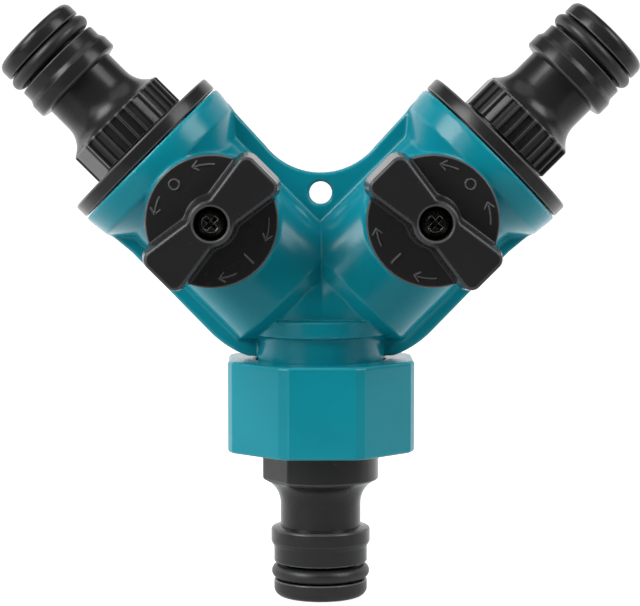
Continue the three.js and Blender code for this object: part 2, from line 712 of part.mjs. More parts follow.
function swivelNut() {
  const outside = new THREE.ExtrudeGeometry(nutOutline(), {
    depth: NUT_TOP - NUT_BOTTOM - 2 * NUT_RIM_BEVEL,
    bevelThickness: NUT_RIM_BEVEL,
    bevelSize: NUT_RIM_BEVEL,
    bevelSegments: 1,
  });
  outside.translate(0, 0, NUT_BOTTOM + NUT_RIM_BEVEL);
  const inside = turned([
    [0, NUT_BOTTOM - PAST],
    [NUT_THREAD_RADIUS, NUT_BOTTOM - PAST],
    [NUT_THREAD_RADIUS, NUT_SHOULDER],
    [NUT_THROAT_RADIUS, NUT_SHOULDER],
    [NUT_THROAT_RADIUS, NUT_TOP + PAST],
    [0, NUT_TOP + PAST],
  ], FINE);
  return geometryOf(solid(outside).subtract(solid(inside)));
}

function swivelClip() {
  const whole = solid(ring(CLIP_INNER_RADIUS, CLIP_OUTER_RADIUS, CLIP_BOTTOM, CLIP_TOP));
  const reach = 2 * CLIP_OUTER_RADIUS;
  const height = CLIP_TOP - CLIP_BOTTOM + 2 * PAST;
  const mouth = box(CLIP_MOUTH, reach, height);
  mouth.translate(0, reach / 2, (CLIP_BOTTOM + CLIP_TOP) / 2);
  return geometryOf(whole.subtract(solid(mouth)));
}

// ---- Assembly ------------------------------------------------------------------------------------

// Everything on one arm, in a group whose +Z runs out along the arm.
function arm(sideName, side) {
  const group = new THREE.Group();
  group.position.z = CROSSING_Z;
  group.rotation.y = side * ARM_TILT;

  const addAt = (parent, along, name, geometry, finish) => {
    const mesh = part(`${sideName}_${name}`, geometry, finish);
    mesh.position.z = along;
    parent.add(mesh);
    return mesh;
  };

  const valve = new THREE.Group();
  valve.position.z = VALVE_ALONG;
  group.add(valve);
  addAt(valve, 0, "valve_ball", ball(), ACETAL);
  addAt(valve, 0, "valve_stem", stem(), ACETAL);
  addAt(valve, 0, "lower_stem_ring", stemRing(STEM_RING_DEPTHS[0]), RUBBER);
  addAt(valve, 0, "upper_stem_ring", stemRing(STEM_RING_DEPTHS[1]), RUBBER);
  addAt(valve, 0, "knob", knob(), BLACK);
  addAt(valve, 0, "knob_screw", knobScrew(), STEEL);
  addAt(valve, 0, "outer_seat", seat(), WHITE_SEAT);
  addAt(valve, 0, "inner_seat", seat().rotateX(Math.PI), WHITE_SEAT);

  addAt(group, 0, "outlet_cap", outletCap(), BLACK);
  addAt(group, CAP_RING_ALONG, "cap_o_ring", capRing(), RUBBER);
  const washerFloor = CAP_SOCKET_FLOOR + GAP;
  const washer = ring(BORE_RADIUS + GAP, CAP_SOCKET_RADIUS - GAP, 0, WASHER_THICKNESS, COARSE);
  addAt(group, washerFloor, "nipple_washer", washer, RED_RUBBER);

  const nipple = new THREE.Group();
  nipple.position.z = side < 0 ? LEFT_NIPPLE_END : RIGHT_NIPPLE_END;
  nipple.rotation.x = Math.PI;
  group.add(nipple);
  const flatAngle = side < 0 ? LEFT_FLAT_TURN : RIGHT_FLAT_TURN;
  addAt(nipple, 0, "outlet_nipple", outletNipple(flatAngle), BLACK);
  addAt(nipple, NIPPLE_RING_HEIGHT, "nipple_o_ring", nippleRing(), RUBBER);
  return group;
}

const splitter = new THREE.Group();
splitter.add(part("splitter_body", splitterBody(), TEAL));
splitter.add(arm("left", -1));
splitter.add(arm("right", 1));

const inlet = new THREE.Group();
inlet.add(part("swivel_nut", swivelNut(), TEAL));
inlet.add(part("swivel_clip", swivelClip(), STEEL));
inlet.add(part("inlet_adapter", inletAdapter(), BLACK));
const inletWasher = ring(WASHER_INNER_RADIUS, WASHER_OUTER_RADIUS, WASHER_BOTTOM, WASHER_TOP);
inlet.add(part("inlet_washer", inletWasher, RED_RUBBER));
const inletRing = part("inlet_o_ring", nippleRing(), RUBBER);
inletRing.position.z = NIPPLE_RING_HEIGHT;
inlet.add(inletRing);
splitter.add(inlet);

export default splitter;
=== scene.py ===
"""Looks of a two-way hose splitter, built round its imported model.

Shapes are worked out in millimetres in the model's own frame and turned into metres when a mesh is
made. Moulded pieces are distance fields, which round every edge and fillet; turned pieces are
lathed from rounded profiles.
"""
import math

import bpy
import numpy as np
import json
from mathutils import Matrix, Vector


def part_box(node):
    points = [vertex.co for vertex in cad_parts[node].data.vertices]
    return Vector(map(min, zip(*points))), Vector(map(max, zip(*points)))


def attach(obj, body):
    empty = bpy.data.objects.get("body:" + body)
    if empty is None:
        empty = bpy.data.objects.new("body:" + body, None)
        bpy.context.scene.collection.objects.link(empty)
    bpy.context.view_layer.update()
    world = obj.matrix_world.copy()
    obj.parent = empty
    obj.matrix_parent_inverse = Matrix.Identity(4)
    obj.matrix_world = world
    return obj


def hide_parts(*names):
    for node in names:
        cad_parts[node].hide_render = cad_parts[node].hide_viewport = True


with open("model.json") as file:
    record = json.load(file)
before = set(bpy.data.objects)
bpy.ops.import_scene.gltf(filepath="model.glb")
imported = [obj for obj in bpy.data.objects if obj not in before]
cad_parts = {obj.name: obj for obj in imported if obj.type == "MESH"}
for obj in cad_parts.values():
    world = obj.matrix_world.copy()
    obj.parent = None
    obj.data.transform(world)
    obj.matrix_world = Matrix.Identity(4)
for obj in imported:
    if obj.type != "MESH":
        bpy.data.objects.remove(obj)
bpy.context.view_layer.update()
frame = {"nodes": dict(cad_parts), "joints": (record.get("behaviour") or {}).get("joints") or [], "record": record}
RECORD = frame["record"]
MM = 0.001
HALF_ROOT = math.sqrt(0.5)
SIDES = ((-1, "left"), (1, "right"))

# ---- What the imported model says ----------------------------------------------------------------


def corner(node, top):
    """The lowest or highest corner of a CAD node, in millimetres."""
    return np.array(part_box(node)[1 if top else 0]) / MM


JOINT = {joint["name"]: joint for joint in frame["joints"]}
MOUNT = {mount["name"]: mount for mount in RECORD["mounts"]}

VALVE_X, _, VALVE_Z = np.array(JOINT["right_knob_turn"]["pos_m"]) / MM
CROSSING_Z = VALVE_Z - VALVE_X
VALVE_ALONG = VALVE_X / HALF_ROOT
NIPPLE_END = {
    side: side * MOUNT[f"{name}_outlet_end_face"]["pos_m"][0] / MM / HALF_ROOT
    for side, name in SIDES
}
STUB_BOTTOM = corner("splitter_body", False)[2]
BODY_FRONT = -corner("splitter_body", False)[1]
HANDLE_FRONT = -corner("left_knob", False)[1]
NUT_BOTTOM = corner("swivel_nut", False)[2]
NUT_TOP = corner("swivel_nut", True)[2]
NUT_HALF = corner("swivel_nut", True)[0]
ADAPTER_TOP = corner("inlet_adapter", True)[2]
ADAPTER_REACH = corner("inlet_adapter", True)[0]

# ---- Sizes -------------------------------------------------------------------------------------

BORE = 4.6
ARM = 11.95
ARM_CORE = 10.0
ARM_END = 40.4
RIM = 15.4
STUB = 10.7
COLLAR = 12.0
BOSS = 10.7
KNOB = 10.9
DISC_TOP = HANDLE_FRONT - 7.4
DISC_BOTTOM = HANDLE_FRONT - 9.1
WEB_HALF = 1.5
HOLE_Z = 69.0
HOLE = 1.9
VALLEY_Z = 72.4
VALLEY = 11.8
GRIP_END = 25.4
FLAT_TURN = {-1: 1.15, 1: math.pi / 2}

# ---- Profiles ----------------------------------------------------------------------------------


def rounded(points, radii, closed=True):
    """A polygon or open line with an arc of the given radius at each of its points."""
    points = [np.array(point, float) for point in points]
    out = []
    for i, (point, radius) in enumerate(zip(points, radii)):
        if radius == 0 or (not closed and i in (0, len(points) - 1)):
            out.append(point)
            continue
        back = points[i - 1] - point
        on = points[(i + 1) % len(points)] - point
        room = 0.49 * min(np.linalg.norm(back), np.linalg.norm(on))
        back /= np.linalg.norm(back)
        on /= np.linalg.norm(on)
        half = math.acos(np.clip(back @ on, -1, 1)) / 2
        reach = min(radius / math.tan(half), room)
        radius = reach * math.tan(half)
        middle = (back + on) / np.linalg.norm(back + on)
        centre = point + middle * radius / math.sin(half)
        first, last = point + back * reach - centre, point + on * reach - centre
        steps = max(2, math.ceil((math.pi - 2 * half) / math.radians(15)))
        for k in range(steps + 1):
            spoke = first * (1 - k / steps) + last * k / steps
            out.append(centre + spoke * radius / np.linalg.norm(spoke))
    return out


def polygon(points):
    """The signed distance to a polygon, as a function of two coordinates."""
    starts = np.array(points, float)
    ends = np.roll(starts, -1, axis=0)

    def distance(u, v):
        nearest = np.full(u.shape, np.inf)
        inside = np.zeros(u.shape, bool)
        for (start_u, start_v), (end_u, end_v) in zip(starts, ends):
            edge_u, edge_v = end_u - start_u, end_v - start_v
            from_u, from_v = u - start_u, v - start_v
            share = (from_u * edge_u + from_v * edge_v) / (edge_u**2 + edge_v**2)
            share = np.clip(share, 0, 1)
            gap = (from_u - share * edge_u) ** 2 + (from_v - share * edge_v) ** 2
            nearest = np.minimum(nearest, gap)
            side = from_u * edge_v < from_v * edge_u
            crosses = (start_v > v) != (end_v > v)
            inside ^= crosses & (side if edge_v > 0 else ~side)
        return np.sqrt(nearest) * np.where(inside, -1, 1)

    return distance


# ---- Distance fields ---------------------------------------------------------------------------


def join(first, second, blend):
    """Two solids as one, with a fillet where they meet."""
    share = np.maximum(blend - np.abs(first - second), 0) / blend
    return np.minimum(first, second) - share * share * blend / 4


def overlap(first, second, blend):
    """What two solids share, with its edge rounded."""
    return -join(-first, -second, blend)


def cut(solid, tool, blend):
    """A solid less a tool, with the cut's edge rounded."""
    return overlap(solid, -tool, blend)


def slab(flat, height, edge):
    """A flat outline's distance and a height's distance as one solid with round edges."""
    outside = np.hypot(np.maximum(flat + edge, 0), np.maximum(height + edge, 0))
    return np.minimum(np.maximum(flat, height) + edge, 0) + outside - edge


def slope(field, points, step):
    """A field's gradient and its value at each point, from four samples round it."""
    total = np.zeros_like(points)
    value = 0
    for spoke in ((1, -1, -1), (-1, -1, 1), (-1, 1, -1), (1, 1, 1)):
        spoke = np.array(spoke, float)
        sample = field(points + spoke * step)
        total += sample[:, None] * spoke
        value = value + sample / 4
    return total / (4 * step), value


CORNERS = np.array([(i, j, k) for i in (0, 1) for j in (0, 1) for k in (0, 1)])
EDGES = [
    (a, b)
    for a in range(8)
    for b in range(a + 1, 8)
    if np.abs(CORNERS[a] - CORNERS[b]).sum() == 1
]
BLOCK = 8


def sampled(field, low, counts, cell):
    """The field on a grid, worked out only in the blocks that its surface may pass through."""
    blocks = -(-counts // BLOCK)
    values = np.full(blocks * BLOCK, np.inf)
    index = np.stack(np.meshgrid(*map(np.arange, blocks), indexing="ij"), -1).reshape(-1, 3)
    centres = low + (index * BLOCK + (BLOCK - 1) / 2) * cell
    at_centre = field(centres)
    near = np.abs(at_centre) < (BLOCK + 1) * cell * math.sqrt(3) / 2
    grid = values.reshape(blocks[0], BLOCK, blocks[1], BLOCK, blocks[2], BLOCK)
    far = index[~near]
    grid[far[:, 0], :, far[:, 1], :, far[:, 2], :] = at_centre[~near][:, None, None, None]
    steps = np.stack(np.meshgrid(*[np.arange(BLOCK)] * 3, indexing="ij"), -1).reshape(-1, 3)
    close = index[near]
    for part in np.array_split(close, max(1, len(close) // 400)):
        points = low + (part[:, None] * BLOCK + steps) * cell
        found = field(points.reshape(-1, 3)).reshape(-1, BLOCK, BLOCK, BLOCK)
        grid[part[:, 0], :, part[:, 1], :, part[:, 2], :] = found
    return values


def surface(field, low, high, cell):
    """The points, normals, bends (per mm, positive outwards) and quads of a field's zero surface."""
    low, high = np.array(low, float), np.array(high, float)
    counts = np.ceil((high - low) / cell).astype(int) + 1
    values = sampled(field, low, counts, cell)
    inside = values < 0
    size = np.array(values.shape)
    count = np.zeros(size - 1, np.int8)
    for i, j, k in CORNERS:
        count += inside[i : size[0] - 1 + i, j : size[1] - 1 + j, k : size[2] - 1 + k]
    cells = np.argwhere((count > 0) & (count < 8))
    number = np.full(size - 1, -1, np.int32)
    number[tuple(cells.T)] = np.arange(len(cells))
    at = [values[tuple((cells + step).T)] for step in CORNERS]
    total = np.zeros((len(cells), 3))
    hits = np.zeros(len(cells))
    for a, b in EDGES:
        crosses = (at[a] < 0) != (at[b] < 0)
        share = np.zeros(len(cells))
        share[crosses] = (at[a] / (at[a] - at[b]))[crosses]
        place = CORNERS[a] + share[:, None] * (CORNERS[b] - CORNERS[a])
        total += place * crosses[:, None]
        hits += crosses
    points = low + (cells + total / hits[:, None]) * cell
    quads = []
    for axis in range(3):
        other, last = (axis + 1) % 3, (axis + 2) % 3
        first = [slice(1, -1)] * 3
        first[axis] = slice(0, -1)
        second = list(first)
        second[axis] = slice(1, None)
        start, end = inside[tuple(first)], inside[tuple(second)]
        place = np.argwhere(start != end)
        leaving = start[tuple(place.T)]
        place += [0 if k == axis else 1 for k in range(3)]
        step = np.zeros((4, 3), int)
        step[[0, 3], other] = -1
        step[[0, 1], last] = -1
        quad = np.stack([number[tuple((place + s).T)] for s in step], -1)
        quads.append(np.where(leaving[:, None], quad, quad[:, ::-1]))
    for _ in range(2):
        normal, value = slope(field, points, cell / 4)
        length = np.maximum((normal**2).sum(-1), 0.3)
        points = points - normal * np.clip(value / length, -cell / 2, cell / 2)[:, None]
    normal, value = slope(field, points, cell / 3)
    bend = 2 * (value - field(points)) / (cell / 3) ** 2
    normal /= np.maximum(np.linalg.norm(normal, axis=-1), 1e-9)[:, None]
    return points, normal, bend, np.concatenate(quads)


# ---- Making pieces -----------------------------------------------------------------------------


SHARPEST = 3.0


def piece(name, points, quads, bends, material, body, nodes, normals=None):
    """A mesh in metres that rides on a body and stands for CAD nodes."""
    mesh = bpy.data.meshes.new(name)
    mesh.vertices.add(len(points))
    mesh.vertices.foreach_set("co", (points * MM).astype(np.float32).ravel())
    mesh.loops.add(quads.size)
    mesh.loops.foreach_set("vertex_index", quads.astype(np.int32).ravel())
    mesh.polygons.add(len(quads))
    mesh.polygons.foreach_set("loop_start", np.arange(len(quads), dtype=np.int32) * 4)
    mesh.polygons.foreach_set("use_smooth", np.ones(len(quads), bool))
    mesh.update(calc_edges=True)
    mesh.validate()
    # The edge attribute holds how sharply the surface bends outwards; the materials paint a highlight, with edge
    # wear, where it is high.
    edge = mesh.attributes.new("edge", "FLOAT", "POINT")
    edge.data.foreach_set("value", np.clip(bends / SHARPEST, 0, 1).astype(np.float32).ravel())
    if normals is None:
        mesh.set_sharp_from_angle(angle=math.radians(40))
    else:
        mesh.normals_split_custom_set_from_vertices(normals)
    mesh.materials.append(material)
    obj = bpy.data.objects.new(name, mesh)
    bpy.context.scene.collection.objects.link(obj)
    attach(obj, body)
    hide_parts(*nodes)
    return obj


class Place:
    """A piece's own frame: an origin in millimetres and two of its axes."""

    def __init__(self, origin, x_axis, z_axis):
        self.origin = np.array(origin, float)
        x_axis, z_axis = np.array(x_axis, float), np.array(z_axis, float)
        self.axes = np.stack([x_axis, np.cross(z_axis, x_axis), z_axis])

    def out(self, points):
        return points @ self.axes + self.origin

    def into(self, points):
        return (points - self.origin) @ self.axes.T

    def turn(self, vectors):
        return vectors @ self.axes


def moulded(name, field, low, high, cell, place, material, body, nodes):
    """A piece from a distance field in its own frame."""
    points, normals, bends, quads = surface(field, low, high, cell)
    return piece(
        name, place.out(points), quads, bends, material, body, nodes, place.turn(normals),
    )


def lathed(name, profile, segments, place, material, body, nodes, shape=None):
    """A turned piece from a closed profile of (radius, height), material on its left."""
    profile = np.array(profile, float)
    turn = np.arange(segments) * 2 * math.pi / segments
    radius = np.repeat(profile[:, :1], segments, axis=1)
    height = np.repeat(profile[:, 1:], segments, axis=1)
    if shape:
        radius = shape(radius, height, turn[None, :])
    points = np.stack([radius * np.cos(turn), radius * np.sin(turn), height], -1)
    number = np.arange(radius.size).reshape(radius.shape)
    up, round_ = np.roll(number, -1, axis=0), np.roll(number, -1, axis=1)
    quads = np.stack([number, round_, np.roll(up, -1, axis=1), up], -1).reshape(-1, 4)
    on = np.roll(profile, -1, axis=0) - profile
    back = np.roll(on, 1, axis=0)
    turned = np.arctan2(back[:, 0] * on[:, 1] - back[:, 1] * on[:, 0], (back * on).sum(-1))
    bends = turned / (np.hypot(*on.T) + np.hypot(*back.T)) * 2
    bends = np.repeat(bends[:, None], segments, axis=1)
    # A rib crest bends round the turn as well, so it counts as an edge and gets the painted highlight.
    drop = 2 * radius - np.roll(radius, 1, axis=1) - np.roll(radius, -1, axis=1)
    bends = np.maximum(bends, drop / (2 * math.pi * radius / segments) ** 2)
    return piece(name, place.out(points.reshape(-1, 3)), quads, bends, material, body, nodes)


def arm_place(side, along, reverse=False):
    """The frame of an arm at a distance along it, with +Z outwards, or inwards if reversed."""
    out = np.array([side * HALF_ROOT, 0, HALF_ROOT])
    across = np.array([HALF_ROOT, 0, -side * HALF_ROOT])
    origin = np.array([0, 0, CROSSING_Z]) + along * out
    return Place(origin, across, -out if reverse else out)


def knob_place(side):
    """The frame of a knob: +Z to the front, X across the arm, Y outwards along it."""
    across = np.array([HALF_ROOT, 0, -side * HALF_ROOT])
    return Place(arm_place(side, VALVE_ALONG).origin, across, (0, -1, 0))


# ---- Materials ---------------------------------------------------------------------------------


def material(name, slot, colour, roughness, **more):
    """A procedural finish: mottled colour and gloss, fine grain, slight waviness, and convex edges lightened as
    painted highlight and edge wear.
    """
    made = bpy.data.materials.new(name)
    made["slot"] = slot
    made.use_nodes = True
    nodes, links = made.node_tree.nodes, made.node_tree.links
    shader = nodes["Principled BSDF"]
    for socket in ("Metallic", "Specular IOR Level"):
        if socket in more:
            shader.inputs[socket].default_value = more[socket]
    coordinates = nodes.new("ShaderNodeTexCoord")

    def noise(scale, detail):
        node = nodes.new("ShaderNodeTexNoise")
        node.inputs["Scale"].default_value = scale
        node.inputs["Detail"].default_value = detail
        links.new(coordinates.outputs["Object"], node.inputs["Vector"])
        return node.outputs["Fac"]

    def ranged(source, low, high):
        node = nodes.new("ShaderNodeMapRange")
        node.inputs["From Min"].default_value = 0.3
        node.inputs["From Max"].default_value = 0.7
        node.inputs["To Min"].default_value = low
        node.inputs["To Max"].default_value = high
        links.new(source, node.inputs["Value"])
        return node.outputs["Result"]

    mottle = noise(more.get("mottle_scale", 90), 4)
    grain = noise(more.get("grain_scale", 3500), 3)
    mix = nodes.new("ShaderNodeMix")
    mix.data_type = "RGBA"
    spread = more.get("spread", 0.06)
    mix.inputs["A"].default_value = (*[c * (1 - spread) for c in colour], 1)
    mix.inputs["B"].default_value = (*[c * (1 + spread) for c in colour], 1)
    links.new(ranged(mottle, 0, 1), mix.inputs["Factor"])
    # Colour turns towards the edge colour where the "edge" attribute marks a convex bend: a painted highlight
    # along edges and rib crests, together with edge wear.
    edge = nodes.new("ShaderNodeMix")
    edge.data_type = "RGBA"
    links.new(mix.outputs["Result"], edge.inputs["A"])
    edge.inputs["B"].default_value = (*more.get("edge_colour", colour), 1)
    sharp = nodes.new("ShaderNodeAttribute")
    sharp.attribute_name = "edge"
    wear_and_sheen = nodes.new("ShaderNodeMapRange")
    wear_and_sheen.inputs["From Min"].default_value = 0.3
    wear_and_sheen.inputs["From Max"].default_value = 1
    wear_and_sheen.inputs["To Max"].default_value = more.get("edge_wear", 0.5)
    links.new(sharp.outputs["Fac"], wear_and_sheen.inputs["Value"])
    links.new(wear_and_sheen.outputs["Result"], edge.inputs["Factor"])
    links.new(edge.outputs["Result"], shader.inputs["Base Color"])
    gloss = ranged(noise(more.get("gloss_scale", 260), 5), roughness - 0.035, roughness + 0.035)
    links.new(gloss, shader.inputs["Roughness"])
    waves = nodes.new("ShaderNodeBump")
    waves.inputs["Strength"].default_value = 1
    waves.inputs["Distance"].default_value = more.get("wave_height", 0.00003)
    links.new(noise(more.get("wave_scale", 140), 1), waves.inputs["Height"])
    fine = nodes.new("ShaderNodeBump")
    fine.inputs["Strength"].default_value = 1
    fine.inputs["Distance"].default_value = more.get("grain_height", 0.000004)
    links.new(grain, fine.inputs["Height"])
    links.new(waves.outputs["Normal"], fine.inputs["Normal"])
    links.new(fine.outputs["Normal"], shader.inputs["Normal"])
    return made


# The lighter edge colours paint highlights on convex edges, rib crests and the screw's cross, along with edge
# wear.
TEAL = material(
    "teal_moulding", "teal_plastic", (0.004, 0.255, 0.325), 0.22,
    edge_colour=(0.05, 0.36, 0.42), wave_height=0.00003, **{"Specular IOR Level": 0.28},
)
BLACK = material(
    "black_moulding", "black_plastic", (0.0195, 0.0195, 0.0205), 0.25,
    edge_colour=(0.15, 0.15, 0.155), edge_wear=0.6, grain_scale=2600, grain_height=0.000008,
    **{"Specular IOR Level": 0.3},
)
RING = material(
    "ring_rubber", "ring_rubber", (0.011, 0.011, 0.012), 0.42, spread=0.15,
    grain_scale=1800, grain_height=0.00001,
)
WASHER = material(
    "washer_rubber", "washer_rubber", (0.3, 0.04, 0.025), 0.7, spread=0.12,
    grain_scale=1500, grain_height=0.00002,
)
ACETAL = material("valve_acetal", "valve_plastic", (0.68, 0.66, 0.62), 0.3, edge_wear=0)
SEAT = material("seat_plastic", "seat_plastic", (0.8, 0.79, 0.75), 0.5, edge_wear=0)
SCREW = material(
    "screw_steel", "screw_steel", (0.1, 0.095, 0.085), 0.26, Metallic=1.0, spread=0.2,
    edge_colour=(0.45, 0.44, 0.42),
)
SPRING = material("spring_steel", "spring_steel", (0.5, 0.5, 0.48), 0.3, Metallic=1.0)

# ---- Y body ------------------------------------------------------------------------------------

ARM_OUTSIDE = polygon(rounded(
    [(-3, 0), (ARM_CORE, 0), (ARM_CORE, 5.8), (ARM, 7.9), (ARM, 32.5), (15, 36.2),
     (RIM, 39.4), (RIM, ARM_END), (-3, ARM_END)],
    [0, 0.3, 0.6, 0.7, 1.4, 0.8, 2, 0.35, 0],
))
ARM_INSIDE = polygon(
    [(-3, -1), (BORE, -1), (BORE, 16.1), (8.6, 16.1), (8.6, 36.3), (12.5, 36.3),
     (12.5, ARM_END + 2), (-3, ARM_END + 2)],
)
STUB_OUTSIDE = polygon(rounded(
    [(-3, STUB_BOTTOM), (STUB, STUB_BOTTOM), (STUB, 35), (9, 35), (9, 36.8), (STUB, 36.8),
     (STUB, 45.1), (COLLAR, 45.1), (COLLAR, 48), (ARM_CORE, 48), (ARM_CORE, 49), (-3, 49)],
    [0, 0.4, 0.1, 0.1, 0.1, 0.1, 0.25, 0.25, 0.35, 0.1, 0.3, 0],
))
STEM_HOLE = polygon([(-3, -1), (4.35, -1), (4.35, 9.75), (3.45, 9.75), (3.45, 18), (-3, 18)])


def beside_arm(along, offset):
    """A point of the web's plane, along the right arm and outwards from its axis."""
    return (along + offset) * HALF_ROOT, CROSSING_Z + (along - offset) * HALF_ROOT


def web_outline():
    """The right half of the web's outline in X and Z."""
    foot = np.array([12.3, NUT_TOP + 0.4])
    bend = np.array(beside_arm(8.05, 14.4))
    knee = np.array(beside_arm(12, 14.4))
    curve = [
        tuple(foot * (1 - t) ** 2 + 2 * bend * t * (1 - t) + knee * t**2)
        for t in np.linspace(0, 1, 9)
    ]
    edge = [beside_arm(31, 14.1), beside_arm(36.2, 14.6), beside_arm(37, -15)]
    centre_z = VALLEY_Z + VALLEY
    valley = [
        (VALLEY * math.sin(a), centre_z - VALLEY * math.cos(a))
        for a in np.radians(np.linspace(52, 0, 14))
    ]
    across = [(-valley[k][0], valley[k][1]) for k in (-2, -4)]
    return [(-6, foot[1]), *curve, *edge, *valley, *across, (-6, 60)]


WEB = polygon(web_outline())
CREASE = 0.05


def body_field(points):
    x = np.sqrt(points[:, 0] ** 2 + CREASE**2)
    y, z = points[:, 1], points[:, 2]
    along = (x + z - CROSSING_Z) * HALF_ROOT
    across = (x - z + CROSSING_Z) * HALF_ROOT
    radius = np.hypot(across, y)
    from_axis = np.hypot(x, y)
    from_valve = np.hypot(along - VALVE_ALONG, across)
    web = slab(WEB(x, z), np.abs(y) - WEB_HALF, 0.45)
    solid = join(ARM_OUTSIDE(radius, along), web, 0.6)
    solid = join(solid, STUB_OUTSIDE(from_axis, z), 0.2)
    boss = slab(from_valve - BOSS, np.maximum(-y - BODY_FRONT, y + 3), 0.3)
    solid = join(solid, boss, 0.9)
    solid = cut(solid, ARM_INSIDE(radius, along), 0.35)
    solid = cut(solid, np.maximum(from_axis - BORE, z - CROSSING_Z - 1), 0.35)
    solid = cut(solid, STEM_HOLE(from_valve, -y), 0.2)
    return cut(solid, np.hypot(x, z - HOLE_Z) - HOLE, 0.7)


WORLD = Place((0, 0, 0), (1, 0, 0), (0, 0, 1))
reach = (ARM_END + RIM) * HALF_ROOT + 1
moulded(
    "body_moulding", body_field,
    (-reach, -BODY_FRONT - 1, STUB_BOTTOM - 1), (reach, RIM + 1, CROSSING_Z + reach),
    0.45, WORLD, TEAL, "splitter", ["splitter_body"],
)

# ---- Swivel nut --------------------------------------------------------------------------------

NUT_CORNER = 0.95
NUT_STRAIGHT = NUT_HALF * math.tan(math.pi / 8) - NUT_CORNER
NUT_CORNERS = [
    (NUT_HALF * math.cos(a) - u * math.sin(a), NUT_HALF * math.sin(a) + u * math.cos(a))
    for a in np.radians(np.arange(0, 360, 45))
    for u in (-NUT_STRAIGHT, NUT_STRAIGHT)
]
NUT_OUTSIDE = polygon(rounded(NUT_CORNERS, [0.2] * 16))
NUT_INSIDE = polygon(
    [(-3, NUT_BOTTOM - 2), (13.2, NUT_BOTTOM - 2), (13.2, 37.4), (11.05, 37.4),
     (11.05, NUT_TOP + 2), (-3, NUT_TOP + 2)],
)


def nut_field(points):
    x, y, z = points.T
    middle, half = (NUT_TOP + NUT_BOTTOM) / 2, (NUT_TOP - NUT_BOTTOM) / 2
    outside = slab(NUT_OUTSIDE(x, y), np.abs(z - middle) - half, 0.5)
    return cut(outside, NUT_INSIDE(np.hypot(x, y), z), 0.5)


moulded(
    "nut_moulding", nut_field,
    (-NUT_HALF - 1, -NUT_HALF - 1, NUT_BOTTOM - 1), (NUT_HALF + 1, NUT_HALF + 1, NUT_TOP + 1),
    0.25, WORLD, TEAL, "inlet_swivel", ["swivel_nut"],
)

# ---- Knobs -------------------------------------------------------------------------------------

HALF_LENGTH = 12.7
HANDLE_BAR = polygon(rounded(
    [(-4, -4), (-4, 2.5), (HALF_LENGTH, 4.9), (HALF_LENGTH, -4)], [0, 0, 2.2, 0],
))
MARK_RADIUS = 9.3


def arc_points(radius, start, end, steps):
    angles = np.radians(np.linspace(start, end, steps + 1))
    return [(radius * math.cos(a), radius * math.sin(a)) for a in angles]


def arrow(start, end):
    """A curved arrow round the knob, as two lines: its shaft and its head."""
    shaft = arc_points(MARK_RADIUS, start, end, 5)
    back = math.copysign(5.5, start - end)
    barbs = [
        arc_points(MARK_RADIUS + offset, end + back, end + back, 0)[0] for offset in (0.75, -0.75)
    ]
    return [shaft, [barbs[0], shaft[-1], barbs[1]]]


def knob_marks():
    """The raised lines on a disc: a ring for shut, a bar for open, and arrows beside each."""
    ring = [(x, y + 8.5) for x, y in arc_points(0.85, 0, 360, 14)]
    bar = [(0, -9.5), (0, -7.5)]
    arrows = [(42, 64), (110, 128), (318, 296), (250, 232)]
    return [ring, bar] + [line for start, end in arrows for line in arrow(start, end)]


MARKS = [
    (np.array(a), np.array(b)) for line in knob_marks() for a, b in zip(line[:-1], line[1:])
]
MARK_HEIGHT = 0.17


def mark_distance(x, y):
    """The distance to the nearest raised line's middle."""
    nearest = np.full(x.shape, np.inf)
    for start, end in MARKS:
        edge = end - start
        share = ((x - start[0]) * edge[0] + (y - start[1]) * edge[1]) / (edge @ edge)
        share = np.clip(share, 0, 1)
        gap = np.hypot(x - start[0] - share * edge[0], y - start[1] - share * edge[1])
        nearest = np.minimum(nearest, gap)
    return nearest


def knob_field(points):
    x, y, depth = points.T
    radius = np.hypot(x, y)
    disc = slab(radius - KNOB, np.maximum(depth - DISC_TOP, DISC_BOTTOM - depth), 0.3)
    low = np.abs(depth - DISC_TOP) < 0.8
    marks = np.full(x.shape, 1.0)
    marks[low] = slab(mark_distance(x[low], y[low]) - 0.12, depth[low] - DISC_TOP - MARK_HEIGHT, 0.1)
    solid = join(disc, marks, 0.12)
    lean = np.clip((depth - DISC_TOP) / (HANDLE_FRONT - DISC_TOP), 0, 1) * 0.6
    outline = join(HANDLE_BAR(np.abs(x), np.abs(y)), radius - 4.3, 0.5) + lean
    handle = slab(outline, np.maximum(depth - HANDLE_FRONT, DISC_BOTTOM - depth), 0.55)
    solid = join(solid, handle, 0.4)
    solid = cut(solid, np.maximum(radius - 2.75, HANDLE_FRONT - 3.8 - depth), 0.4)
    solid = cut(solid, radius - 1.55, 0.1)
    socket = np.maximum(np.maximum(np.abs(x), np.abs(y)) - 2.35, depth - HANDLE_FRONT + 4.7)
    return cut(solid, socket, 0.1)


for side, name in SIDES:
    moulded(
        f"{name}_knob_moulding", knob_field, (-14, -12, DISC_BOTTOM - 1), (14, 12, HANDLE_FRONT + 1),
        0.135, knob_place(side), BLACK, f"{name}_valve", [f"{name}_knob"],
    )

# ---- Knob screws -------------------------------------------------------------------------------

SCREW_SEAT = HANDLE_FRONT - 3.55
SCREW_TOP = SCREW_SEAT + 1.5
SCREW_OUTSIDE = polygon(rounded(
    [(-2, SCREW_SEAT - 7.5), (0.2, SCREW_SEAT - 7.5), (1.25, SCREW_SEAT - 6.2),
     (1.25, SCREW_SEAT), (2.3, SCREW_SEAT), (2.3, SCREW_TOP - 0.5), (1.5, SCREW_TOP), (-2, SCREW_TOP)],
    [0, 0, 0, 0, 0.15, 0.5, 0.6, 0],
))


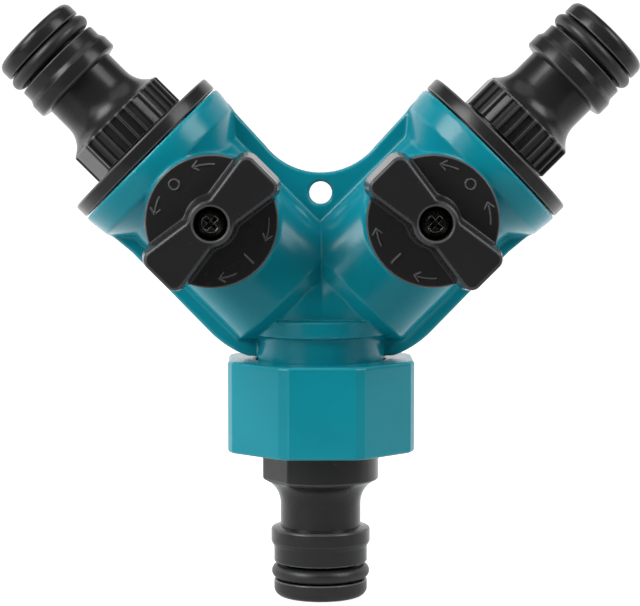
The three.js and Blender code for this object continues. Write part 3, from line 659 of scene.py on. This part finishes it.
def screw_field(points):
    x, y, depth = points.T
    solid = SCREW_OUTSIDE(np.hypot(x, y), depth)
    sunk = np.maximum(SCREW_TOP - depth, 0)
    for long, short in ((x, y), (y, x)):
        slot = np.maximum(np.abs(short) - 0.32 + 0.08 * sunk, np.abs(long) - 1.35 + 0.75 * sunk)
        solid = cut(solid, np.maximum(slot, sunk - 1.2), 0.08)
    return solid


for side, name in SIDES:
    moulded(
        f"{name}_screw", screw_field, (-2.6, -2.6, SCREW_SEAT - 8), (2.6, 2.6, SCREW_TOP + 0.3),
        0.09, knob_place(side), SCREW, f"{name}_valve", [f"{name}_knob_screw"],
    )

# ---- Nipples, adapter, caps and rings ------------------------------------------------------------

GRIP_START = 19.6
NECK = 6.85
SWEEP = 4.6
RIBS = 32


def nipple_end(extra, grip_extra):
    """The working end of a nipple, from its bore at the end face to where the sweep ends."""
    sweep_x, sweep_z = NECK + SWEEP, 15.5 + grip_extra
    last = math.asin((GRIP_START - 15.5) / SWEEP)
    sweep = [
        (sweep_x - SWEEP * math.cos(a), sweep_z + SWEEP * math.sin(a))
        for a in np.linspace(0, last, 10)
    ]
    line = [
        (BORE, 0), (7.95, 0), (7.95, 2.9), (5.8, 2.9), (5.8, 5.95),
        (7.95, 5.95), (7.95, 7.9 + extra), (8.45, 8.8 + extra), (8.45, 11.1 + extra),
        (NECK, 11.5 + extra),
    ]
    return line, [0.3, 1.5, 0.25, 0.3, 0.3, 0.25, 0.6, 0.6, 0.5, 0.5], sweep


def ribbed(flat_turn):
    """Shapes a grip: ribs all round it and a wrench flat on either side."""

    def shape(radius, height, turn):
        on_grip = np.clip((height - GRIP_START - 0.15) / 0.25, 0, 1) * (height < GRIP_END + 0.01)
        on_grip = on_grip * (radius > 9.3)
        phase = (turn * RIBS / (2 * math.pi)) % 1
        wave = np.clip((np.abs(phase - 0.5) - 0.09) / 0.14, 0, 1)
        wave = wave * wave * (3 - 2 * wave)
        radius = radius - on_grip * (0.62 * wave)
        facing = np.abs(np.cos(turn - flat_turn))
        limit = 8.7 / np.maximum(facing, 0.3)
        return np.where(height > 13, np.minimum(radius, limit), radius)

    return shape


def grip_profile():
    line, radii, sweep = nipple_end(0, 0)
    thread_end = GRIP_END + 4.6
    grip = [
        (9.5, GRIP_START), (9.8, GRIP_START + 0.3), (9.8, GRIP_START + 0.5),
        *[(9.8, h) for h in np.linspace(GRIP_START + 0.9, GRIP_END - 0.3, 6)],
        (9.8, GRIP_END - 0.15), (9.65, GRIP_END), (7.8, GRIP_END), (7.8, thread_end),
        (BORE, thread_end),
    ]
    return rounded(line, radii, closed=False) + sweep + grip


def adapter_profile():
    extra = 0.45
    line, radii, sweep = nipple_end(0.7, extra)
    start = GRIP_START + extra
    rest = rounded(
        [(9.3, start), (9.9, start + 0.2), (9.9, 26), (ADAPTER_REACH, 26),
         (ADAPTER_REACH, ADAPTER_TOP), (BORE, ADAPTER_TOP)],
        [0.1, 0.7, 0.3, 0.3, 0.3, 0], closed=False,
    )
    return rounded(line, radii, closed=False) + sweep + rest


def flattened(radius, height, turn):
    """Cuts the adapter's one flat, on its left."""
    facing = np.cos(turn - (-math.pi / 2 - 1.02))
    limit = np.where(facing > 0.3, 9.1 / np.maximum(facing, 0.3), np.inf)
    return np.where((height > 13) & (height < 25.9), np.minimum(radius, limit), radius)


def torus_profile(radius, section, steps=20):
    angles = np.arange(steps) * 2 * math.pi / steps
    return [(radius + section * math.cos(a), section * math.sin(a)) for a in angles]


INLET = Place((0, 0, 0), (1, 0, 0), (0, 0, 1))
lathed(
    "adapter_turning", adapter_profile(), 240, INLET, BLACK, "inlet_swivel", ["inlet_adapter"],
    flattened,
)
RING_HEIGHT = 4.3
lathed(
    "inlet_ring", torus_profile(7.15, 1.2), 160, Place((0, 0, RING_HEIGHT), (1, 0, 0), (0, 0, 1)),
    RING, "inlet_swivel", ["inlet_o_ring"],
)

CAP_PROFILE = rounded(
    [(BORE, 34.55), (8.1, 34.55), (8.1, 36.55), (12.1, 36.55), (12.1, 37.6), (10.45, 37.6),
     (10.45, 39.6), (12.1, 39.6), (12.1, 40.65), (15.3, 40.65), (15.3, 43.05), (8.1, 43.05),
     (8.1, 36.9), (BORE, 36.9)],
    [0, 0.2, 0, 0.3, 0.1, 0, 0, 0.1, 0, 0.3, 0.4, 0.2, 0, 0],
)

for side, name in SIDES:
    nipple = arm_place(side, NIPPLE_END[side], reverse=True)
    flat_turn = FLAT_TURN[side] - math.pi / 2
    lathed(
        f"{name}_nipple_turning", grip_profile(), RIBS * 12, nipple, BLACK, "splitter",
        [f"{name}_outlet_nipple"], ribbed(flat_turn),
    )
    lathed(
        f"{name}_nipple_ring", torus_profile(7.15, 1.2), 160,
        arm_place(side, NIPPLE_END[side] - RING_HEIGHT, reverse=True), RING, "splitter",
        [f"{name}_nipple_o_ring"],
    )
    lathed(
        f"{name}_cap_turning", CAP_PROFILE, 160, arm_place(side, 0), BLACK, "splitter",
        [f"{name}_outlet_cap"],
    )

# ---- Inner pieces keep their CAD shapes ----------------------------------------------------------

FINISH = {
    "valve_ball": ACETAL, "valve_stem": ACETAL, "inner_seat": SEAT, "outer_seat": SEAT,
    "nipple_washer": WASHER, "inlet_washer": WASHER, "swivel_clip": SPRING,
    "lower_stem_ring": RING, "upper_stem_ring": RING, "cap_o_ring": RING,
}
for name, node in frame["nodes"].items():
    if node.hide_render:
        continue
    finish = FINISH[name.removeprefix("left_").removeprefix("right_")]
    node.data.materials.clear()
    node.data.materials.append(finish)

# ---- Studio ------------------------------------------------------------------------------------


def backdrop():
    """A pale sheet that lies flat and curves up behind."""
    across, front, back, bend, top = 2.0, -0.18, 1.6, 0.3, 1.6
    line = [(front, 0.0), (back - bend, 0.0)]
    for a in np.radians(np.linspace(5, 90, 18)):
        line.append((back - bend + bend * math.sin(a), bend - bend * math.cos(a)))
    line.append((back, top))
    points = [(x, y, z) for y, z in line for x in (-across, across)]
    quads = [(2 * i, 2 * i + 1, 2 * i + 3, 2 * i + 2) for i in range(len(line) - 1)]
    mesh = bpy.data.meshes.new("backdrop")
    mesh.from_pydata(points, [], quads)
    mesh.shade_smooth()
    paper = bpy.data.materials.new("paper")
    paper.use_nodes = True
    shader = paper.node_tree.nodes["Principled BSDF"]
    shader.inputs["Base Color"].default_value = (0.5, 0.5, 0.5, 1)
    shader.inputs["Roughness"].default_value = 0.9
    nodes, links = paper.node_tree.nodes, paper.node_tree.links
    place = nodes.new("ShaderNodeNewGeometry")
    parts = nodes.new("ShaderNodeSeparateXYZ")
    glow = nodes.new("ShaderNodeMapRange")
    glow.inputs["From Min"].default_value = -0.03
    glow.inputs["From Max"].default_value = 0.05
    glow.inputs["To Max"].default_value = 0.9
    links.new(place.outputs["Position"], parts.inputs["Vector"])
    links.new(parts.outputs["Y"], glow.inputs["Value"])
    path = nodes.new("ShaderNodeLightPath")
    shown = nodes.new("ShaderNodeMix")
    shown.inputs["B"].default_value = 0.85
    links.new(path.outputs["Is Camera Ray"], shown.inputs["Factor"])
    links.new(glow.outputs["Result"], shown.inputs["A"])
    links.new(shown.outputs["Result"], shader.inputs["Emission Strength"])
    shader.inputs["Emission Color"].default_value = (1, 1, 1, 1)
    mesh.materials.append(paper)
    sheet = bpy.data.objects.new("backdrop", mesh)
    bpy.context.scene.collection.objects.link(sheet)


def softbox(name, place, target, size, power):
    """A square area light that faces a target."""
    data = bpy.data.lights.new(name, "AREA")
    data.shape = "RECTANGLE"
    data.size, data.size_y = size
    data.energy = power
    lamp = bpy.data.objects.new(name, data)
    bpy.context.scene.collection.objects.link(lamp)
    aim(lamp, place, target)


def aim(obj, place, target):
    from mathutils import Vector

    obj.location = place
    obj.rotation_euler = (Vector(target) - Vector(place)).to_track_quat("-Z", "Y").to_euler()


CENTRE = np.array([0, 0, 0.055])
backdrop()
LAMPS = [
    ("left_front", -44, 18, 0.6, (0.3, 0.5), 1.1),
    ("right_front", 60, 18, 0.6, (0.3, 0.5), 0.5),
    ("left_high", -60, 35, 1, (0.5, 0.5), 6.8),
    ("right_high", 60, 38, 1, (0.5, 0.5), 4.4),
    ("overhead", 0, 88, 0.9, (0.6, 0.6), 1.1),
    ("front_high", -10, 60, 1, (0.6, 0.4), 0.85),
    ("left_rear", -116, 20, 0.6, (0.3, 0.4), 0.5),
    ("right_rear", 114, 20, 0.6, (0.3, 0.4), 0.4),
]
for name, azimuth, elevation, distance, size, power in LAMPS:
    turn, lift = math.radians(azimuth), math.radians(elevation)
    towards = np.array([
        math.sin(turn) * math.cos(lift), -math.cos(turn) * math.cos(lift), math.sin(lift),
    ])
    softbox(name, CENTRE + distance * towards, CENTRE, size, power)

world = bpy.data.worlds.new("studio")
world.use_nodes = True
world.node_tree.nodes["Background"].inputs["Color"].default_value = (1, 1, 1, 1)
path = world.node_tree.nodes.new("ShaderNodeLightPath")
seen = world.node_tree.nodes.new("ShaderNodeMapRange")
seen.inputs["To Min"].default_value = 0.02
seen.inputs["To Max"].default_value = 1
world.node_tree.links.new(path.outputs["Is Camera Ray"], seen.inputs["Value"])
world.node_tree.links.new(
    seen.outputs["Result"], world.node_tree.nodes["Background"].inputs["Strength"]
)
bpy.context.scene.world = world
bpy.context.scene.view_settings.view_transform = "Standard"

# ---- Camera ------------------------------------------------------------------------------------


def camera():
    """The camera in front, a little above, aimed at the middle of the model."""
    azimuth, elevation, distance = math.radians(1), math.radians(5), 0.425
    target = np.array([-0.0001, 0, 0.0502])
    towards = np.array([
        math.sin(azimuth) * math.cos(elevation),
        math.cos(azimuth) * math.cos(elevation),
        -math.sin(elevation),
    ])
    data = bpy.data.cameras.new("camera")
    data.sensor_fit = "HORIZONTAL"
    data.sensor_width = 36
    data.lens = 140.625
    data.clip_start = 0.01
    made = bpy.data.objects.new("camera", data)
    made.location = target - distance * towards
    made.rotation_euler = (math.pi / 2 - elevation, 0, -azimuth)
    bpy.context.scene.collection.objects.link(made)
    bpy.context.scene.camera = made


camera()

import json
